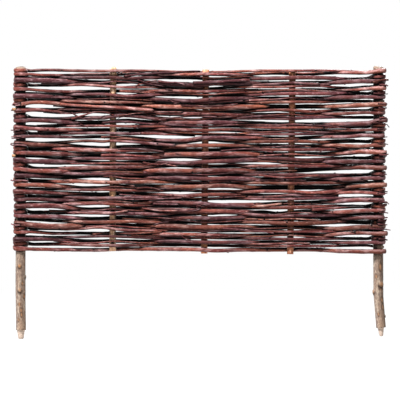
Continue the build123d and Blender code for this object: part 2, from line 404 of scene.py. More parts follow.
# pieces that lie on the front: points (x, z) from the cut end on, both thicknesses, slot
twigs = (
    (((-76, 365.3), (-120, 368.5), (-167, 370.9), (-223, 375.7)), 5.4, 4.0, "rod_red"),
    (((-92.5, 328.8), (-50, 326.5), (-7, 324.5)), 4.0, 2.8, "rod_red"),
    (((-41.3, 309.6), (-90, 313.5), (-143, 316.5)), 5.2, 4.0, "rod_plum"),
    (((-8.8, 408.5), (30, 410.5), (80.8, 414)), 4.8, 3.6, "rod_plum"),
    (((-64.8, 411.5), (-50, 409.0), (-36, 408.8), (-21.6, 404.3)), 3.2, 1.8, "rod_plum"),
    (((-98.4, 414), (-79, 407.7), (-55, 403.7)), 2.4, 1.4, "rod_plum"),
    (((-101.6, 404.5), (-82.4, 411.7), (-66.4, 414)), 2.2, 1.2, "rod_red"),
    (((-119, 419.7), (-92, 422.9), (-44, 425.3), (0.8, 428)), 3.6, 2.6, "rod_plum"),
    (((-204, 361), (-194, 355), (-178, 350), (-162, 352), (-151, 357)), 2.6, 1.6, "rod_plum"),
    (((-204, 352), (-188, 356), (-170, 361.5), (-150, 362), (-136, 357)), 2.8, 1.8, "rod_red"),
    (((180, 206), (220, 209), (262, 211)), 4.6, 3.6, "rod_red"),
    (((-169, 167.5), (-150, 170), (-110, 168), (-60, 171)), 3.8, 2.4, "rod_brown"),
    (((60, 352), (100, 356), (152, 354)), 3.4, 2.2, "rod_plum"),
    (((35, 300), (80, 304), (118, 299)), 3.0, 1.8, "rod_plum"),
    (((95, 262), (140, 258), (190, 261)), 3.4, 2.4, "rod_red"),
    (((-297, 367), (-294.5, 367), (-292, 367)), 4.8, 4.6, "peeled"),
    (((-298, 292.5), (-295.5, 292.5), (-293, 292.5)), 4.8, 4.6, "peeled"),
    (((270, 177), (284, 176), (296, 175.5), (304.5, 174)), 2.4, 1.5, "rod_plum"),
    (((272, 223), (288, 221), (298, 219.5), (301.5, 215.5)), 2.6, 1.5, "rod_plum"),
    (((276, 345), (290, 344), (299, 342.5), (302.5, 338)), 2.4, 1.4, "rod_plum"),
    (((278, 392), (290, 391), (300.5, 391.5)), 2.6, 1.6, "rod_plum"),
    (((276, 409.5), (290, 413), (301, 413.5)), 3.6, 3.4, "rod_brown"),
    (((-276, 309), (-290, 310), (-298, 309.5), (-301, 311)), 2.8, 2.2, "rod_plum"),
    (((-274, 252), (-288, 253), (-298, 252.5), (-301, 253.5)), 2.8, 2.2, "rod_plum"),
    (((-104.8, 233.0), (-118, 233.6), (-132, 233.4)), 3.6, 3.2, "peeled"),
)
trimSet = {
    # twigs: most of them in the tangle of the second span, the rest anywhere on the weave
    "count": 22, "length": (34, 110), "thick": (1.8, 3.2), "taper": 0.6,
    "slope": 0.09, "bow": 3.0, "tangle": (-135, -10), "wide": (-255, 250), "heights": (165, 415),
    # short spurs
    "shoots": 60, "shootLength": (5, 15), "shootThick": (1.1, 1.9), "shootTip": 0.7,
    "shootSlope": 0.5, "shootTangle": (-140, 0), "shootWide": (-265, 265),
    "shootHeights": (155, 425), "tipOut": 1.5,
    # torn ends past the stakes
    "edgeShoots": 30, "edgeFrom": (284, 288), "edgeTo": (297.5, 301), "edgeHeights": (150, 420),
    "edgeThick": (2.0, 3.2), "edgeTip": (1.4, 2.2),
    # how all of them rest on the weave, as shares of their thickness
    "pace": 4.0, "sunk": 0.35, "raysApart": 0.35, "frontY": -16.6,
}


def looseTwigs():
    # more twigs, laid at random
    rng = np.random.default_rng(77)
    out = []
    for i in range(trimSet["count"]):
        length = rng.uniform(*trimSet["length"])
        low, high = trimSet["wide"]
        x = rng.uniform(*trimSet["tangle"]) if i % 2 else rng.uniform(low, high - length)
        z = rng.uniform(*trimSet["heights"])
        slope = rng.uniform(-trimSet["slope"], trimSet["slope"])
        bow = rng.uniform(-trimSet["bow"], trimSet["bow"])
        d = rng.uniform(*trimSet["thick"])
        way = 1 if rng.random() < 0.5 else -1
        points = [(x + way * length * t, z + slope * length * t + bow * math.sin(math.pi * t))
                  for t in (0, 0.35, 0.7, 1)]
        out.append((points, d, d * trimSet["taper"], ("rod_plum", "rod_red")[i % 2]))
    return out


def sideShoots(tree):
    # short bent spurs from a rod outwards, and torn ends at the two sides
    rng = np.random.default_rng(78)
    out = []
    while len(out) < trimSet["shoots"]:
        length = rng.uniform(*trimSet["shootLength"])
        x = rng.uniform(*trimSet["shootTangle" if len(out) % 2 else "shootWide"])
        z = rng.uniform(*trimSet["shootHeights"])
        if frontOf(tree, x, z) is None:
            continue
        way = 1 if rng.random() < 0.6 else -1
        slope = rng.uniform(-trimSet["shootSlope"], trimSet["shootSlope"])
        points = [(x + way * length * t, z + slope * length * t * t) for t in (0, 0.5, 1)]
        thick = rng.uniform(*trimSet["shootThick"])
        out.append((points, thick, trimSet["shootTip"], "rod_plum"))
    for i in range(trimSet["edgeShoots"]):
        way, z = (-1 if i % 4 == 0 else 1), rng.uniform(*trimSet["edgeHeights"])
        x, tip = way * rng.uniform(*trimSet["edgeFrom"]), way * rng.uniform(*trimSet["edgeTo"])
        points = [(x, z), ((x + tip) / 2, z + rng.uniform(-0.8, 0.8)),
                  (tip, z + rng.uniform(-2.5, 2.5))]
        thick = rng.uniform(*trimSet["edgeThick"])
        out.append((points, thick, rng.uniform(*trimSet["edgeTip"]), "rod_plum"))
    return out


def frontOf(tree, x, z):
    # depth of the weave's front there, seen from 100 mm in front, or none in an opening
    hit = tree.ray_cast((x * mm, -0.1, z * mm), (0, 1, 0))[0]
    return None if hit is None else hit[1] / mm


def restingKnots(tree, points, d0, d1):
    # lays a twig on what is in front of it, as stiff as it is
    line = smoothLine([(x, 0, z, 1, 1) for x, z in points], trimSet["pace"])
    apart = trimSet["raysApart"]
    share = np.linspace(0, 1, len(line))
    d = d0 + (d1 - d0) * share
    fronts = []
    for p, w in zip(line, d):
        seen = [frontOf(tree, p[0], p[2] + up * w) for up in (-apart, 0, apart)]
        fronts.append(min([f for f in seen if f is not None], default=None))
    known = [i for i, f in enumerate(fronts) if f is not None] or [0]
    y = np.interp(range(len(line)), known, [fronts[i] or 0 for i in known])
    stiff = 1 + len(line) // 8
    y = np.array([y[max(0, i - stiff):i + stiff + 1].min() for i in range(len(y))])
    y = np.array([y[max(0, i - stiff):i + stiff + 1].mean() for i in range(len(y))])
    y = np.maximum(y - d * trimSet["sunk"], trimSet["frontY"] + d / 2)
    return [(p[0], v, p[2], w, 1.0) for p, v, w in zip(line, y, d)]


def smoothLine(knots, pace):
    # evenly paced points on a smooth line through all the knots
    k = np.array(knots, float)
    k = np.vstack([2 * k[0] - k[1], k, 2 * k[-1] - k[-2]])
    out = []
    for i in range(1, len(k) - 2):
        p0, p1, p2, p3 = k[i - 1], k[i], k[i + 1], k[i + 2]
        d0, d1, d2 = (max(np.linalg.norm(b[:3] - a[:3]), 1e-6) ** 0.5
                      for a, b in ((p0, p1), (p1, p2), (p2, p3)))
        m1 = d1 * ((p1 - p0) / d0 - (p2 - p0) / (d0 + d1) + (p2 - p1) / d1)
        m2 = d1 * ((p2 - p1) / d1 - (p3 - p1) / (d1 + d2) + (p3 - p2) / d2)
        count = max(1, int(round(np.linalg.norm(p2[:3] - p1[:3]) / pace)))
        for t in np.arange(count) / count:
            h1, h2 = 2 * t ** 3 - 3 * t ** 2 + 1, t ** 3 - 2 * t ** 2 + t
            h3, h4 = -2 * t ** 3 + 3 * t ** 2, t ** 3 - t ** 2
            out.append(h1 * p1 + h2 * m1 + h3 * p2 + h4 * m2)
    out.append(k[-2])
    return np.array(out)


def drawTube(name, line, radii, sides, twist="Z_UP"):
    # a path with a round bevel, drawn through the line and made a mesh
    bpy.ops.object.select_all(action="DESELECT")
    bpy.ops.curve.primitive_nurbs_path_add(location=(0, 0, 0))
    obj = bpy.context.object
    obj.name = name
    curve = obj.data
    curve.splines.clear()
    spline = curve.splines.new("POLY")
    spline.points.add(len(line) - 1)
    spline.points.foreach_set("co", np.c_[line, np.ones(len(line))].ravel())
    spline.points.foreach_set("radius", radii)
    curve.dimensions = "3D"
    curve.twist_mode = twist
    curve.bevel_depth = 1.0
    curve.bevel_resolution = (sides - 4) // 2
    curve.use_fill_caps = True
    bpy.ops.object.convert(target="MESH")
    obj = bpy.context.object
    bpy.ops.object.mode_set(mode="EDIT")
    bpy.ops.mesh.select_all(action="SELECT")
    bpy.ops.mesh.remove_doubles(threshold=1e-5)
    bpy.ops.mesh.normals_make_consistent(inside=False)
    bpy.ops.object.mode_set(mode="OBJECT")
    return obj


def rodShape(knots, seed):
    # the smooth line of a rod, with its waves, knuckles and lumps
    points = smoothLine(knots, rodLook["pace"])
    steps = np.linalg.norm(np.diff(points[:, :3], axis=0), axis=1)
    along = np.r_[0, np.cumsum(steps)]
    rng = np.random.default_rng(100 + seed)
    free = np.clip((points[:, 4] - 0.9) / 0.1, 0, 1)  # the turns stay tight
    for axis in (1, 2):
        for short, long, size in rodLook["waves"]:
            wave = sum(rng.normal() * np.sin(along / rng.uniform(short, long)
                                             + rng.uniform(0, 6.3)) for i in range(6))
            points[:, axis] += size * wave * free
    places = np.cumsum(rng.uniform(*rodLook["nodeSpread"], 60) * rodLook["nodeEvery"])
    places = places[places < along[-1] - 6]  # none on the tip
    swell = np.zeros(len(points))
    for p in places:
        swell = np.maximum(swell, np.exp(-((along - p) / rodLook["nodeLength"]) ** 2))
    (high, long), (smallHigh, smallLong) = rodLook["lumps"], rodLook["smallLumps"]
    lumps = high * np.sin(along / long + seed)
    lumps += smallHigh * np.sin(along / smallLong + 2 * seed) * free
    radius = points[:, 3] / 2 * (1 + rodLook["nodeSwell"] * swell + lumps)
    deep = radius * points[:, 4]
    points[:, 1] = np.clip(points[:, 1], deep + rodLook["frontLimit"], rodLook["backLimit"] - deep)
    return points, along, radius, places, swell


def nearestOn(line, co):
    # for each vertex, the index of the nearest point of the line, worked out in lots
    lot = 2000
    out = np.empty(len(co), int)
    for i in range(0, len(co), lot):
        d = ((co[i:i + lot, None, :] - line[None, :, :]) ** 2).sum(2)
        out[i:i + lot] = d.argmin(1)
    return out


def readPlaces(obj, line, guide):
    # where each vertex sits round its line: nearest point, and offsets across, up and along
    co = np.empty(len(obj.data.vertices) * 3)
    obj.data.vertices.foreach_get("co", co)
    co = co.reshape(-1, 3)
    at = nearestOn(line, co)
    tangent = np.gradient(line, axis=0)
    tangent /= np.linalg.norm(tangent, axis=1)[:, None]
    across = np.cross(tangent, guide)
    across /= np.maximum(np.linalg.norm(across, axis=1), 1e-9)[:, None]
    up = np.cross(across, tangent)
    off = co - line[at]
    parts = [(off * axis[at]).sum(1) for axis in (across, up, tangent)]
    return co, at, across[at], up[at], tangent[at], parts


def keepMarks(obj, **marks):
    for name, values in marks.items():
        kind = "FLOAT" if values.ndim == 1 else "FLOAT_VECTOR"
        mark = obj.data.attributes.new(name, kind, "POINT")
        mark.data.foreach_set("value" if values.ndim == 1 else "vector", values.ravel())


def markBark(obj, line, along, press, tone, swell):
    # keeps each vertex's place on the straightened rod, and presses the turns thin
    co, at, across, up, tangent, (a, b, c) = readPlaces(obj, line, (0, 0, 1))
    place = np.c_[along[at] * mm + c, a, b]
    co = co - across * (a * (1 - press[at]))[:, None]
    start = at == 0
    if press[0] > 0.95:  # slanted cut
        slant = (np.abs(a[start].max()) - a[start])[:, None]
        co[start] -= tangent[start] * slant * rodLook["cutSlant"]
    obj.data.vertices.foreach_set("co", co.ravel())
    keepMarks(obj, barkPlace=place, tone=tone[at], knuckle=swell[at])
    obj.data.update()


def wovenTree(pieces):
    # one search tree of all the pieces, and their vertices
    corners, faces, count = [], [], 0
    for obj in pieces:
        co = np.empty(len(obj.data.vertices) * 3)
        obj.data.vertices.foreach_get("co", co)
        corners.append(co.reshape(-1, 3))
        faces += [[count + i for i in face.vertices] for face in obj.data.polygons]
        count += len(obj.data.vertices)
    return BVHTree.FromPolygons(np.vstack(corners).tolist(), faces), corners


# rays from each vertex for the painted shade: how many, how wide, where they start and how far they
# look, in metres; then the share of it on the uprights
coverLook = {"rays": 10, "widest": 0.97, "turn": 2.39996, "start": 0.0007, "reach": 0.035,
             "upright": 0.5}


def bakeCover(pieces):
    # painted shade: how closely each point is hedged in by its neighbours, kept so that its bark is
    # painted darker the more it is hedged in
    tree, corners = wovenTree(pieces)
    rays, reach = coverLook["rays"], coverLook["reach"]
    k = np.arange(rays) + 0.5
    lean, turned = np.sqrt(k / rays) * coverLook["widest"], k * coverLook["turn"]
    for obj, co in zip(pieces, corners):
        normal = np.empty(len(co) * 3)
        obj.data.vertices.foreach_get("normal", normal)
        normal = normal.reshape(-1, 3)
        a = np.cross(normal, (0.3, 0.1, 0.95))
        a /= np.maximum(np.linalg.norm(a, axis=1), 1e-6)[:, None]
        b = np.cross(normal, a)
        hits = np.zeros(len(co))
        start = (co + normal * coverLook["start"]).tolist()
        for part, angle in zip(lean, turned):
            ways = a * part * math.cos(angle) + b * part * math.sin(angle)
            ways += normal * math.sqrt(1 - part * part)
            hits += [tree.ray_cast(o, way, reach)[0] is not None
                     for o, way in zip(start, ways.tolist())]
        # the uprights get only part of the painted shade
        share = coverLook["upright"] if "Upright" in obj.name else 1.0
        keepMarks(obj, cover=hits / rays * share)


budLook = {"length": 4.2, "spread": (0.6, 1.1), "share": 0.55, "turn": 2.4, "sunk": 0.9,
           "wide": 0.36, "flat": 0.75, "raised": 0.10}


def makeBud():
    # one pointed bud, lying along +X with its back on the rod
    bpy.ops.object.select_all(action="DESELECT")
    bpy.ops.mesh.primitive_uv_sphere_add(segments=8, ring_count=6, radius=1.0, location=(0, 0, 0))
    bud = bpy.context.object
    bud.name = "budMaster"
    for v in bud.data.vertices:
        t = (v.co.z + 1) / 2
        wide = budLook["wide"] * (1 - t ** 2.2)
        v.co = Vector((0.5 + 0.5 * v.co.z, v.co.y * wide,
                       v.co.x * wide * budLook["flat"] + budLook["raised"] * t))
    return bud


def joinPieces(pieces, main):
    bpy.ops.object.select_all(action="DESELECT")
    for piece in pieces:
        piece.select_set(True)
    main.select_set(True)
    bpy.context.view_layer.objects.active = main
    bpy.ops.object.join()


def addBuds(rod, bud, points, along, radius, places, rng):
    # buds sit on the knuckles, each turned on from the one before
    copies = []
    turned = rng.uniform(0, 6.28)
    for p in places:
        turned += budLook["turn"]
        if rng.random() > budLook["share"]:
            continue
        i = int(np.searchsorted(along, p))
        if i >= len(points) - 2 or points[i, 4] < 0.95:
            continue
        here = Vector(points[i, :3])
        tangent = (Vector(points[i + 1, :3]) - Vector(points[i - 1, :3])).normalized()
        across = tangent.cross(Vector((0, 0, 1))).normalized()
        out = (across * math.cos(turned) + tangent.cross(across) * math.sin(turned)).normalized()
        copy = bud.copy()
        copy.data = bud.data.copy()
        bpy.context.collection.objects.link(copy)
        length = budLook["length"] * rng.uniform(*budLook["spread"])
        sideways = out.cross(tangent)
        for v in copy.data.vertices:
            w = here + out * (radius[i] * budLook["sunk"])
            w += (tangent * v.co.x + sideways * v.co.y + out * v.co.z) * length
            v.co = w * mm
        copies.append(copy)
    if copies:
        joinPieces(copies, rod)


def newGroup(name, inputs, outputs):
    group = bpy.data.node_groups.new(name, "ShaderNodeTree")
    for label, kind, value in inputs:
        socket = group.interface.new_socket(label, in_out="INPUT", socket_type=kind)
        if value is not None:
            socket.default_value = value
    for label, kind in outputs:
        group.interface.new_socket(label, in_out="OUTPUT", socket_type=kind)
    return group, group.nodes.new("NodeGroupInput"), group.nodes.new("NodeGroupOutput")


def addNode(tree, kind, values=None, **settings):
    node = tree.nodes.new(kind)
    for key, value in settings.items():
        setattr(node, key, value)
    for key, value in (values or {}).items():
        node.inputs[key].default_value = value
    return node


def ramp(tree, source, stops):
    node = tree.nodes.new("ShaderNodeValToRGB")
    band = node.color_ramp
    while len(band.elements) < len(stops):
        band.elements.new(0.5)
    for element, (place, shade) in zip(band.elements, stops):
        element.position = place
        element.color = (shade, shade, shade, 1)
    tree.links.new(source, node.inputs[0])
    return node.outputs[0]


def feed(tree, socket, value):
    # a socket takes another node's output or a plain value
    if isinstance(value, bpy.types.NodeSocket):
        tree.links.new(value, socket)
    else:
        socket.default_value = value


def blend(tree, factor, a, b, mode="MIX"):
    node = addNode(tree, "ShaderNodeMix", data_type="RGBA", blend_type=mode)
    for number, value in ((0, factor), (6, a), (7, b)):
        feed(tree, node.inputs[number], value)
    return node.outputs[2]


def reckon(tree, operation, a, b):
    node = addNode(tree, "ShaderNodeMath", operation=operation)
    for number, value in enumerate((a, b)):
        feed(tree, node.inputs[number], value)
    return node.outputs[0]


def rescale(tree, source, limits):
    node = addNode(tree, "ShaderNodeMapRange", limits)
    tree.links.new(source, node.inputs["Value"])
    return node.outputs[0]


def noise(tree, place, stretch, detail, rough=0.55, scale=1.0):
    mapping = addNode(tree, "ShaderNodeMapping", {"Scale": stretch})
    tree.links.new(place, mapping.inputs["Vector"])
    values = {"Scale": scale, "Detail": detail, "Roughness": rough}
    node = addNode(tree, "ShaderNodeTexNoise", values)
    tree.links.new(mapping.outputs[0], node.inputs["Vector"])
    return node.outputs["Fac"]


# bark patterns (stretch along and across the rod, detail, roughness) and their ramps
barkLook = {
    "streak": ((30, 1400, 1400), 4.0, 0.6), "patch": ((45, 160, 160), 3.0),
    "long": ((9, 30, 30), 2.0), "fleck": ((230, 520, 520), 2.0),
    "streakRamp": ((0.30, 0.0), (0.68, 1.0)), "warmRamp": ((0.42, 0.0), (0.66, 0.75)),
    "bloomRamp": ((0.50, 0.0), (0.77, 0.64)), "roughRamp": ((0.3, 0.32), (0.8, 0.52)),
    "darkFlecks": ((0.36, 1.0), (0.56, 0.0)), "paleFlecks": ((0.60, 0.0), (0.72, 0.85)),
    "tone": {"To Min": 0.55, "To Max": 1.45}, "knuckle": 0.35,
    # painted shade: from how hedged in a point is to how much its colour is brightened or darkened
    "hidden": {"From Min": 0.12, "From Max": 0.50, "To Min": 1.21, "To Max": 0.006},
    "bump": 0.35, "bumpDepth": 0.0004, "shine": 0.07,
}


def buildBark():
    # bark: long fine streaks, soft mottling, pale pores and darker knuckles, then painted shade
    # where it is hedged in
    group, start, end = newGroup("willowBark", [
        ("Place", "NodeSocketVector", None), ("Tone", "NodeSocketFloat", 0.5),
        ("Knuckle", "NodeSocketFloat", 0.0), ("Cover", "NodeSocketFloat", 0.0),
        ("Flecks", "NodeSocketFloat", 0.5),
        ("Deep", "NodeSocketColor", (0.05, 0.02, 0.02, 1)),
        ("Main", "NodeSocketColor", (0.2, 0.08, 0.06, 1)),
        ("Bloom", "NodeSocketColor", (0.45, 0.3, 0.3, 1)),
        ("Warm", "NodeSocketColor", (0.4, 0.15, 0.06, 1)),
    ], [("Color", "NodeSocketColor"), ("Height", "NodeSocketFloat"), ("Rough", "NodeSocketFloat")])
    i, look = start.outputs, barkLook
    streak, patch, long, fleck = (noise(group, i["Place"], *look[name])
                                  for name in ("streak", "patch", "long", "fleck"))
    colour = blend(group, ramp(group, streak, look["streakRamp"]), i["Deep"], i["Main"])
    colour = blend(group, ramp(group, long, look["warmRamp"]), colour, i["Warm"])
    colour = blend(group, ramp(group, patch, look["bloomRamp"]), colour, i["Bloom"])
    for name, tint in (("darkFlecks", "Deep"), ("paleFlecks", "Bloom")):
        amount = reckon(group, "MULTIPLY", ramp(group, fleck, look[name]), i["Flecks"])
        colour = blend(group, amount, colour, i[tint])
    colour = blend(group, 1.0, colour, rescale(group, i["Tone"], look["tone"]), "MULTIPLY")
    dark = reckon(group, "MULTIPLY", i["Knuckle"], look["knuckle"])
    colour = blend(group, dark, colour, i["Deep"])
    # painted shade: bark hedged in by its neighbours is painted near black, open bark a little
    # brighter
    colour = blend(group, 1.0, colour, rescale(group, i["Cover"], look["hidden"]), "MULTIPLY")
    group.links.new(colour, end.inputs["Color"])
    group.links.new(reckon(group, "ADD", streak, patch), end.inputs["Height"])
    group.links.new(ramp(group, patch, look["roughRamp"]), end.inputs["Rough"])
    return group


def newMaterial(name):
    material = bpy.data.materials.new(name)
    material.use_nodes = True
    return material, material.node_tree, material.node_tree.nodes["Principled BSDF"]


def attribute(tree, name, output="Fac"):
    return addNode(tree, "ShaderNodeAttribute", attribute_name=name).outputs[output]


def roughen(tree, shader, height, strength, distance):
    bump = addNode(tree, "ShaderNodeBump", {"Strength": strength, "Distance": distance})
    tree.links.new(height, bump.inputs["Height"])
    tree.links.new(bump.outputs[0], shader.inputs["Normal"])


def barkMaterial(name, group, deep, main, bloom, warm, flecks):
    material, tree, shader = newMaterial(name)
    node = addNode(tree, "ShaderNodeGroup", node_tree=group)
    for key, value in (("Deep", deep), ("Main", main), ("Bloom", bloom), ("Warm", warm)):
        node.inputs[key].default_value = (*value, 1)
    node.inputs["Flecks"].default_value = flecks
    tree.links.new(attribute(tree, "barkPlace", "Vector"), node.inputs["Place"])
    # the bark's tone, its knuckles and the painted shade, read from the marks on the mesh
    for key in ("Tone", "Knuckle", "Cover"):
        tree.links.new(attribute(tree, key.lower()), node.inputs[key])
    tree.links.new(node.outputs["Color"], shader.inputs["Base Color"])
    tree.links.new(node.outputs["Rough"], shader.inputs["Roughness"])
    roughen(tree, shader, node.outputs["Height"], barkLook["bump"], barkLook["bumpDepth"])
    shader.inputs["Specular IOR Level"].default_value = barkLook["shine"]
    return material, tree, shader, node


def stakeMaterial(name, group, deep, main, bloom, warm, flecks, knotPale, knotDark):
    # grey-brown stake bark with tan knots; one dark colour serves the scars' dark rims and the
    # painted shade under the knots
    material, tree, shader, node = barkMaterial(name, group, deep, main, bloom, warm, flecks)
    colour = blend(tree, attribute(tree, "knotPale"), node.outputs["Color"], (*knotPale, 1))
    # dark scar rims, and painted shade under the knots
    colour = blend(tree, attribute(tree, "knotDark"), colour, (*knotDark, 1))
    tree.links.new(colour, shader.inputs["Base Color"])
    return material


def woodMaterial(name, dark, pale, scale, stretch):
    # pale bare wood with fibres
    material, tree, shader = newMaterial(name)
    place = addNode(tree, "ShaderNodeTexCoord").outputs["Object"]
    fibre = noise(tree, place, stretch, 3.0, scale=scale)
    tree.links.new(blend(tree, fibre, (*dark, 1), (*pale, 1)), shader.inputs["Base Color"])
    roughen(tree, shader, fibre, woodLook["bump"], woodLook["bumpDepth"])
    shader.inputs["Roughness"].default_value = woodLook["rough"]
    return material


woodLook = {"bump": 0.4, "bumpDepth": 0.0003, "rough": 0.75}
# bark colours: dark streaks, main colour, pale bloom and warm patches, then the flecks' share
barkTints = {
    "rod_red": ("rodRed", (0.024, 0.007, 0.008), (0.180, 0.046, 0.041),
                (0.55, 0.35, 0.34), (0.27, 0.083, 0.050), 0.38),
    "rod_plum": ("rodPlum", (0.018, 0.006, 0.008), (0.122, 0.039, 0.043),
                 (0.42, 0.27, 0.285), (0.20, 0.060, 0.044), 0.38),
    "rod_brown": ("rodBrown", (0.028, 0.009, 0.008), (0.190, 0.055, 0.043),
                  (0.56, 0.36, 0.31), (0.29, 0.090, 0.050), 0.38),
    "peeled": ("peeledStrip", (0.30, 0.13, 0.06), (0.62, 0.36, 0.20),
               (0.80, 0.58, 0.40), (0.60, 0.30, 0.14), 0.38),
    "upright_left": ("uprightPale", (0.30, 0.15, 0.085), (0.80, 0.54, 0.37),
                     (0.92, 0.78, 0.62), (0.68, 0.34, 0.16), 0.6),
    "uprights": ("uprightRed", (0.22, 0.065, 0.040), (0.62, 0.27, 0.17),
                 (0.88, 0.56, 0.40), (0.66, 0.25, 0.10), 0.6),
}
stakeTint = ("stakeBark", (0.075, 0.052, 0.048), (0.31, 0.235, 0.185),
             (0.50, 0.42, 0.33), (0.33, 0.20, 0.12), 0.52)
# the second colour is for the scars' dark rims and for the painted shade under the knots
knotTint = ((0.42, 0.20, 0.085), (0.035, 0.022, 0.018))  # pale knot, dark edge
barkGroup = buildBark()
barks = {key: barkMaterial(tint[0], barkGroup, *tint[1:])[0] for key, tint in barkTints.items()}
stakeBark = stakeMaterial(stakeTint[0], barkGroup, *stakeTint[1:], *knotTint)
cutWood = woodMaterial("cutWood", (0.40, 0.26, 0.16), (0.78, 0.62, 0.46), 700.0, (1, 1, 1))
peeledWood = woodMaterial("peeledWood", (0.52, 0.38, 0.30), (0.74, 0.59, 0.48), 300.0, (3, 3, 0.3))
print("materials ready")

slotOf = {part["node"]: part["material_slot"] for part in frame["record"]["subparts"]}
budMaster = makeBud()
woven = []
# how pale the bark is: a middle value, two waves along the rod (size, shortest, longest), the
# turns, and the cut end with its length
toneLook = {"middle": (0.3, 0.7), "slow": (0.28, 120, 190), "quick": (0.10, 25, 50),
            "turned": 0.22, "cut": 0.30, "cutLength": 14}


def barkTone(along, press, rng):
    slow, *slowLength = toneLook["slow"]
    quick, *quickLength = toneLook["quick"]
    tone = rng.uniform(*toneLook["middle"])
    tone = tone + slow * np.sin(along / rng.uniform(*slowLength) + rng.uniform(0, 6))
    tone = tone + quick * np.sin(along / rng.uniform(*quickLength))
    tone = tone + toneLook["turned"] * (press < 0.9)
    return np.clip(tone - toneLook["cut"] * np.exp(-along / toneLook["cutLength"]), 0, 1)


def paintEnds(obj):
    # the cut ends are flat wood, the rest is smooth bark
    for face in obj.data.polygons:
        isEnd = len(face.vertices) > 4
        face.use_smooth = not isEnd
        face.material_index = int(isEnd)


def makeRod(name, knots, seed, slot):
    points, along, radius, places, swell = rodShape(knots, seed)
    line, press = points[:, :3] * mm, points[:, 4]
    rod = drawTube(name, line, radius * mm, rodLook["sides"])
    rng = np.random.default_rng(500 + seed)
    addBuds(rod, budMaster, points, along, radius, places, rng)
    markBark(rod, line, along, press, barkTone(along, press, rng), swell)
    woven.append(rod)
    rod.data.materials.clear()
    rod.data.materials.append(barks[slot])
    rod.data.materials.append(cutWood)
    paintEnds(rod)
    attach(rod, "root")
    return rod


for row in range(weave["rows"]):
    node = f"rod_{row + 1:02d}"
    rod = makeRod(f"willowRod_{row + 1:02d}", rodKnots(row), row, slotOf[node])
    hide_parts(node)
for number, (run, x0, x1, d, slot, flip) in enumerate(withyList()):
    makeRod(f"thinWithy_{number + 1:02d}", withyKnots(run, x0, x1, d, flip), 40 + number, slot)
print("rods woven")

front = wovenTree(woven)[0]
for number, (points, d0, d1, slot) in enumerate(list(twigs) + looseTwigs()):
    knots = restingKnots(front, points, d0, d1)
    makeRod(f"looseTwig_{number + 1:02d}", knots, 110 + number, slot)
shoots = []
for number, (points, d0, d1, slot) in enumerate(sideShoots(front)):
    knots = restingKnots(front, points, d0, d1)
    x, y, z, d, press = knots[-1]
    knots[-1] = (x, max(y - trimSet["tipOut"], trimSet["frontY"]), z, d, press)
    shoots.append(makeRod(f"shoot_{number + 1:02d}", knots, 200 + number, slot))
for shoot in shoots:
    woven.remove(shoot)
joinPieces(shoots, shoots[0])
shoots[0].name = "sideShoots"
woven.append(shoots[0])
bpy.data.objects.remove(budMaster)
print("twigs and shoots laid on")

# knots: height, angle from the front, size, how far it stands out, how orange it is
# scars: height, angle, half width, half height
stakes = {
    "left": {
        "x": -286.0, "foot": (-285.6, 0, 0.0), "kink": 60.0,
        "pointR": 4.2, "shoulderR": 6.3, "ragged": 0.15,
        "knots": ((116.5, -9, 3.0, 0.9, 0.9), (98.9, 78, 2.6, 1.2, 0.3), (78.0, -5, 3.4, 0.9, 0.5)),
        "scars": ((55.7, -12, 2.6, 2.0), (46.0, 9, 1.9, 3.4), (39.0, 14, 1.7, 3.8),
                  (68.0, 50, 2.0, 3.0), (31.0, -25, 1.8, 2.6), (89.0, 25, 1.6, 3.0),
                  (73.5, 2, 1.8, 1.6)),
    },
    "right": {
        "x": 286.0, "foot": (291.1, 0, 4.1), "kink": 70.0,
        "pointR": 2.7, "shoulderR": 5.1, "ragged": 1.3,
        "knots": ((87.0, 33, 4.6, 1.6, 0.55), (75.0, -76, 3.6, 1.6, 0.9),
                  (35.7, 80, 2.2, 1.2, 0.2)),
        "scars": ((115.5, 20, 2.0, 6.0), (62.5, 37, 2.0, 4.2), (51.0, 42, 1.8, 4.6),
                  (100.0, -30, 1.8, 2.8), (40.0, -20, 1.7, 3.0), (80.5, 26, 2.2, 1.8)),
    },
}
stakeLook = {
    "sides": 40, "pace": 2.4, "upperPace": 6.0, "legR": 7.8, "swellFrom": 68, "swellRate": 6,
    # the point: distance from its end and share of its own radius; then the step to the bark
    "point": ((0.0, 0.72), (0.5, 0.90), (1.4, 1.0), (4.0, 1.0), (7.0, 1.0), (10.0, 1.0),
              (13.2, 1.0), (13.85, 1.0)),
    "pointLong": 14, "barkEnd": 14.0, "barkEdge": 0.25, "barkStep": 0.45, "firstStep": 2.0,
    "topRise": 0.9, "topSlant": 17.0, "topEdge": 0.4,
    # uneven bark, knots and scars; then slow bands of tone up the stake, and painted shade that
    # darkens its right side and lightens its left
    "barkFrom": 13, "innerR": 7.2, "arcR": 7.6, "bumps": 7, "bumpHigh": 0.10,
    "bumpLong": (14, 60), "ringDeep": 0.25, "scarDeep": 0.35, "scarPale": 0.65, "scarDark": 0.8,
    "toneWave": 0.10, "toneSide": 0.30,
}


def stakeLine(s):
    # axis points from the point of the stake to its top, with the radius at each
    look = stakeLook
    foot, kink = Vector(s["foot"]), Vector((s["x"], 0, s["kink"]))
    up = (kink - foot).normalized()
    legLength = (kink - foot).length
    points, radii = [], []
    for t, share in look["point"]:
        points.append(foot + up * t)
        widening = (s["shoulderR"] - s["pointR"]) * t / look["pointLong"]
        radii.append(share * (s["pointR"] + widening))
    t = look["barkEnd"]
    points += [foot + up * t, foot + up * (t + look["barkEdge"])]
    radii += [look["legR"] - look["barkStep"], look["legR"]]
    t += look["firstStep"]
    while t < legLength:
        points.append(foot + up * t)
        radii.append(look["legR"])
        t += look["pace"]
    z = kink.z
    top = weaveTop + look["topRise"]
    while z < top:
        points.append(Vector((s["x"], 0, z)))
        swollen = look["legR"] + max(0, z - look["swellFrom"]) / look["swellRate"]
        radii.append(min(weave["stakeR"], swollen))
        z += look["pace"] if z < 150 else look["upperPace"]
    points.append(Vector((s["x"], 0, top)))
    radii.append(weave["stakeR"])
    return np.array([tuple(p) for p in points]), np.array(radii)


